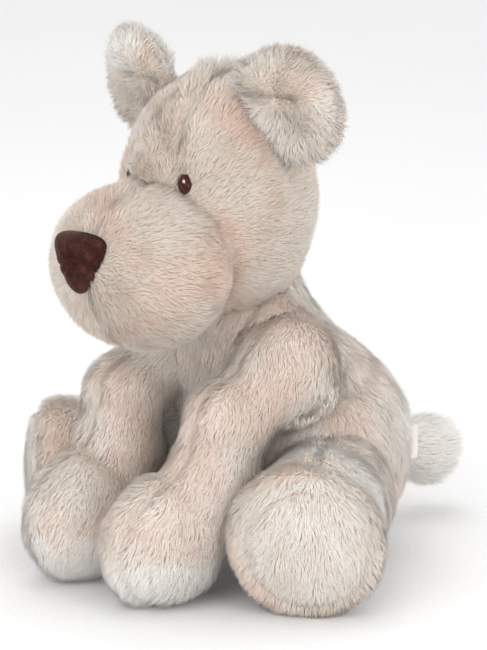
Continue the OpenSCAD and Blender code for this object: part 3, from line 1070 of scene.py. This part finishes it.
def make_nose():
    points, quads = net(nose_form, nose_low, nose_high, 1.2)
    nose = smooth(new_object("nose_cushion", points, quads, nose_cloth))
    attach(nose, "head")
    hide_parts("nose_padding")
    rng = np.random.default_rng(7)
    p, n, _ = sample(nose, 15000, rng)
    way = nose_flow(p, n)
    way = unit(way - n * (way * n).sum(1)[:, None] + 0.25 * rng.normal(size=p.shape))
    tip = p + n * 0.75 + way * 1.5
    tone = np.clip(np.round(1.2 + 0.5 * BLOTCH(p * 3) + 0.6 * rng.normal(size=len(p))), 0, 3).astype(int)
    # The lower half of each velour fibre is a shade darker: partly the velour's own darker roots and partly
    # painted shade deep in its pile
    pile = fibre_mesh("nose_velour_pile", p - n * 0.3, (p + tip) / 2 + n * 0.25, tip, n,
                      np.full(len(p), 0.13), np.maximum(tone - 1, 0), tone, NOSE_SHADES)
    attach(pile, "head")
    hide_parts("nose_cover")


def threads(name, paths, radius, material, sides=6):
    """Round threads along rows of points, closed at their ends, in one mesh object."""
    verts, faces = [], []
    turn = np.linspace(0, 2 * np.pi, sides, endpoint=False)
    for path in paths:
        path = np.asarray(path, float)
        way = unit(np.gradient(path, axis=0))
        side = unit(np.cross(way, [0.31, 0.12, 0.94]))
        up = np.cross(side, way)
        start = len(verts)
        for at, u, v in zip(path, side, up):
            verts += [at + radius * (math.cos(t) * u + math.sin(t) * v) for t in turn]
        for k in range(len(path) - 1):
            for i in range(sides):
                a, b = start + k * sides + i, start + k * sides + (i + 1) % sides
                faces.append([a, b, b + sides, a + sides])
        faces.append([start + i for i in range(sides)][::-1])
        faces.append([start + (len(path) - 1) * sides + i for i in range(sides)])
    return smooth(new_object(name, verts, faces, material))


EYE_SINK = {"left": 2.0, "right": 3.2}  # how deep the stitched eyes are drawn into the fur
EYE_HALF = np.array([3.3, 2.0, 4.6])  # half width, height over the face, and half height
STITCH = 0.62  # distance between neighbouring stitches


def make_eye(side):
    """A satin-stitched drop: level threads that arch over a padded middle."""
    low, high = span("eye_" + side)
    turn = math.radians(24) * SIDES[side]
    out = np.array([math.sin(turn), -math.cos(turn), 0])
    across = np.array([math.cos(turn), math.sin(turn), 0])
    middle = (low + high) / 2 - out * EYE_SINK[side]
    paths = []
    for z in np.arange(-EYE_HALF[2], EYE_HALF[2] + 0.01, STITCH):
        level = z / EYE_HALF[2]
        half = EYE_HALF[0] * math.sqrt(max(1 - level * level, 0.02)) * (1 - 0.28 * max(level, 0))
        arch = [math.radians(t) for t in range(-90, 91, 20)]
        rise = EYE_HALF[1] * math.sqrt(max(1 - 0.6 * level * level, 0))
        paths.append([middle + across * half * math.sin(t) + out * rise * math.cos(t)
                      + np.array([0, 0, z]) for t in arch])
    eye = threads("eye_stitches_" + side, paths, 0.42, eye_thread)
    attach(eye, "head")
    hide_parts("eye_" + side)
    glint = []
    for k in range(3):
        start = middle + across * (0.2 + 0.35 * k) + out * (EYE_HALF[1] + 0.2) + np.array([0, 0, 0.6])
        glint.append([start, start + out * 0.35 + np.array([0, 0, 0.7]), start + np.array([0, 0, 1.4])])
    dot = threads("eye_glint_stitches_" + side, glint, 0.3, glint_thread)
    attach(dot, "head")
    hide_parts("eye_glint_" + side)


LABEL_T = 0.35  # thickness of the label's tape


def make_label():
    """A folded tape, sewn into the side seam by its two ends and left blank."""
    low, high = span("care_label")
    middle, gap = (low[0] + high[0]) / 2, (high[0] - low[0]) / 2 - LABEL_T / 2
    bend = [math.radians(t) for t in range(-90, 91, 30)]
    line = [(middle - gap, y) for y in np.linspace(low[1], high[1] - gap, 8)]
    line += [(middle + gap * math.sin(t), high[1] - gap + gap * math.cos(t)) for t in bend[1:-1]]
    line += [(middle + gap, y) for y in np.linspace(high[1] - gap, low[1], 8)]
    line = np.array(line)
    normal = unit(np.gradient(line, axis=0)) @ np.array([[0, 1], [-1, 0]])
    rows, faces = [], []
    levels = np.linspace(low[2], high[2], 9)
    for side_of in (-0.5, 0.5):
        for z in levels:
            wave = 0.25 * np.sin(z * 0.45 + line[:, 1] * 0.2)
            edge = line + normal * LABEL_T * side_of
            x = edge[:, 0] + wave * (line[:, 1] - low[1]) / 22
            rows.append(np.stack([x, edge[:, 1], 0 * wave + z], 1))
    m, k = len(line), len(levels)
    at = np.arange(2 * m * k).reshape(2, k, m)
    for f in range(2):
        grid = at[f] if f == 0 else at[f][::-1]
        quads = np.stack([grid[:-1, :-1], grid[:-1, 1:], grid[1:, 1:], grid[1:, :-1]], -1)
        faces += quads.reshape(-1, 4).tolist()
    loop = list(at[:, 0, :].T) + list(at[:, 1:, -1].T)
    loop += list(at[:, -1, -2::-1].T) + list(at[:, -2:0:-1, 0].T)
    for i, (a, b) in enumerate(loop):
        c, d = loop[(i + 1) % len(loop)]
        faces.append([a, b, d, c])
    label = smooth(new_object("care_label_tape", np.concatenate(rows), faces, label_tape))
    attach(label, "torso")
    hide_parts("care_label")


# ---------------------------------------------------------------- camera, floor and light


def look(obj, at):
    obj.rotation_mode = "QUATERNION"
    obj.rotation_quaternion = (Vector(at) - obj.location).to_track_quat("-Z", "Y")


def make_camera():
    camera = bpy.data.objects.new("camera", bpy.data.cameras.new("camera"))
    bpy.context.scene.collection.objects.link(camera)
    azimuth, reach, height = math.radians(48), 1.5, 0.452
    stand = Vector((0, -0.038, 0))
    camera.location = stand + Vector((math.sin(azimuth) * reach, -math.cos(azimuth) * reach, height))
    camera.data.sensor_width = 36
    camera.data.lens = 174
    look(camera, (0.0055, -0.038, 0.1202))
    bpy.context.scene.camera = camera


def area_light(name, at, aim, size, power):
    light = bpy.data.lights.new(name, "AREA")
    light.shape, light.size, light.energy = "DISK", size, power
    obj = bpy.data.objects.new(name, light)
    obj.location = at
    bpy.context.scene.collection.objects.link(obj)
    look(obj, aim)


LIGHT_AIM = (0, -0.03, 0.12)
# Name, place in metres, diameter and power of each soft light
LIGHTS = [
    ("key", (0.35, -1.3, 1.15), 0.9, 4.5),
    ("fill", (1.5, -0.2, 0.7), 1.0, 4),
    ("low", (0.7, -1.1, 0.16), 1.0, 5),
    ("top", (-0.3, 0.3, 1.6), 1.2, 4),
]


def make_studio():
    turn = np.linspace(0, 2 * np.pi, 65)[:-1]
    rings = [np.stack([r * np.cos(turn), r * np.sin(turn), 0 * turn], 1) for r in (400, 1500, 6000)]
    faces = [list(range(64))]
    for k in range(2):
        for i in range(64):
            j = (i + 1) % 64
            faces.append([64 * k + i, 64 * k + 64 + i, 64 * k + 64 + j, 64 * k + j])
    floor = new_object("floor", np.concatenate(rings), faces, floor_paint)
    world = bpy.data.worlds.new("studio")
    bpy.context.scene.world = world
    world.use_nodes = True
    world.node_tree.nodes["Background"].inputs["Color"].default_value = (1, 1, 1, 1)
    world.node_tree.nodes["Background"].inputs["Strength"].default_value = 1.0
    bpy.context.scene.view_settings.view_transform = "Standard"
    for name, at, size, power in LIGHTS:
        area_light(name, at, LIGHT_AIM, size, power)


make_camera()
make_studio()

# ---------------------------------------------------------------- build
bodies = ["torso", "head", "tail"] + [f"{b}_{s}" for b in ("ear", "foreleg", "hindleg") for s in SIDES]
backings = {body: make_backing(body) for body in bodies}
swell([(obj, body) for body, obj in backings.items()])
for body, obj in backings.items():
    subdivide(obj)
    crease(obj, body)
    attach(obj, body)
    inner = [n for n in frame["record"]["behaviour"]["bodies"][body] if "filling" in n]
    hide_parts(*inner)

for seed, body in enumerate(bodies):
    grow(body, backings[body], np.random.default_rng(100 + seed))

make_nose()
make_label()
for side in SIDES:
    make_eye(side)

for node, material in (("pellet_pouch", pouch_cloth), ("pellets", pellet_plastic),
                       ("neck_ring", backing_cloth)):
    mesh = frame["nodes"][node].data
    mesh.materials.clear()
    mesh.materials.append(material)
